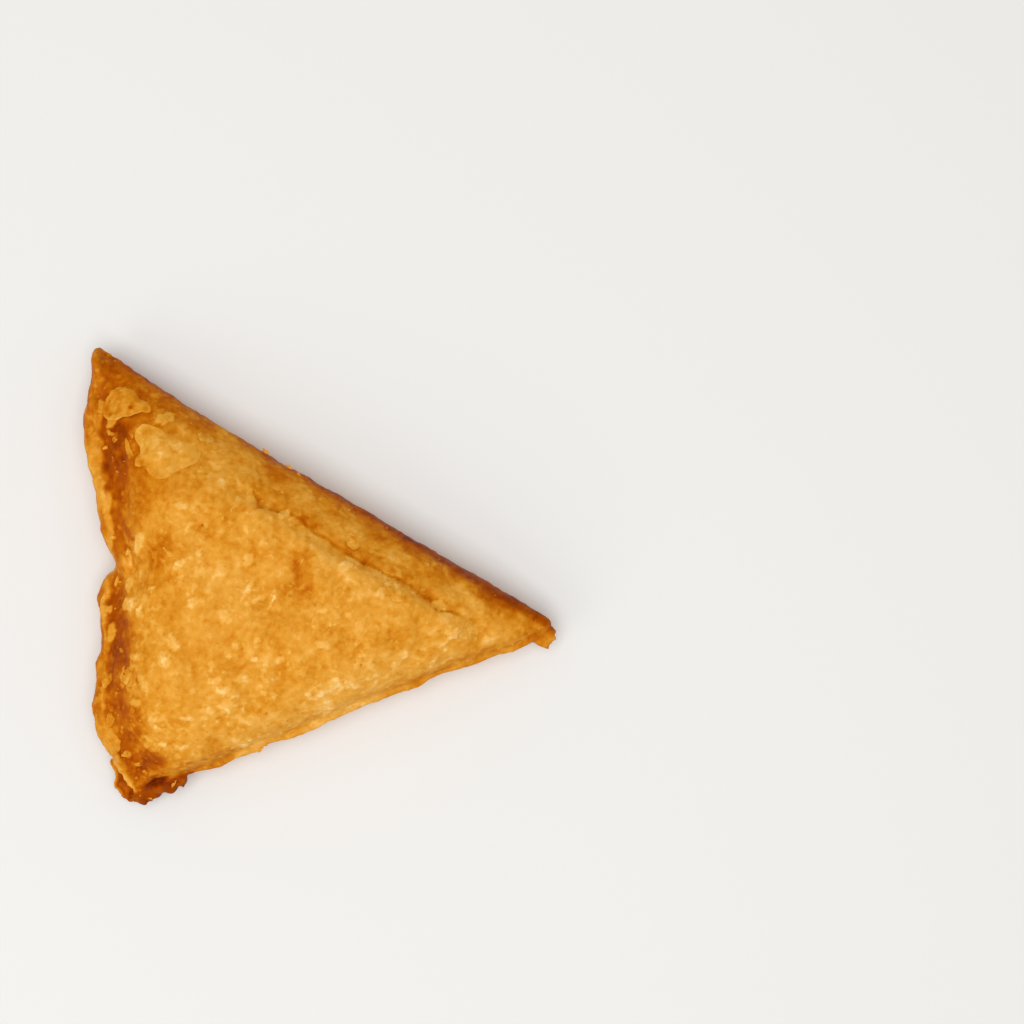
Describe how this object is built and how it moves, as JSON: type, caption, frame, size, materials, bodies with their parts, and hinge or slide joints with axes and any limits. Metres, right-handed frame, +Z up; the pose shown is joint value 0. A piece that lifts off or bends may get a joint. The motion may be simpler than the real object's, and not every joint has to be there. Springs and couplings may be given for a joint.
{
  "type": "samosa",
  "caption": "Three-cornered deep-fried pastry parcel, folded closed over its filling, with rolled edge folds, a crumpled tip and blistered flaky crust.",
  "frame": {"origin": "middle of the samosa's bounding box in plan, on the surface it lies on", "axes": "+Z up through the thickness, +X towards the pointed tip, +Y towards the tip that the upper rolled fold runs to"},
  "size_m": [0.093, 0.0904, 0.0221],
  "materials": {
    "fried_pastry": "golden deep-fried flaky pastry, satin with a trace of oil, browner along the folds and tips, pale blisters and skins"
  },
  "bodies": {
    "root": {"samosa": "fried_pastry"}
  },
  "joints": []
}
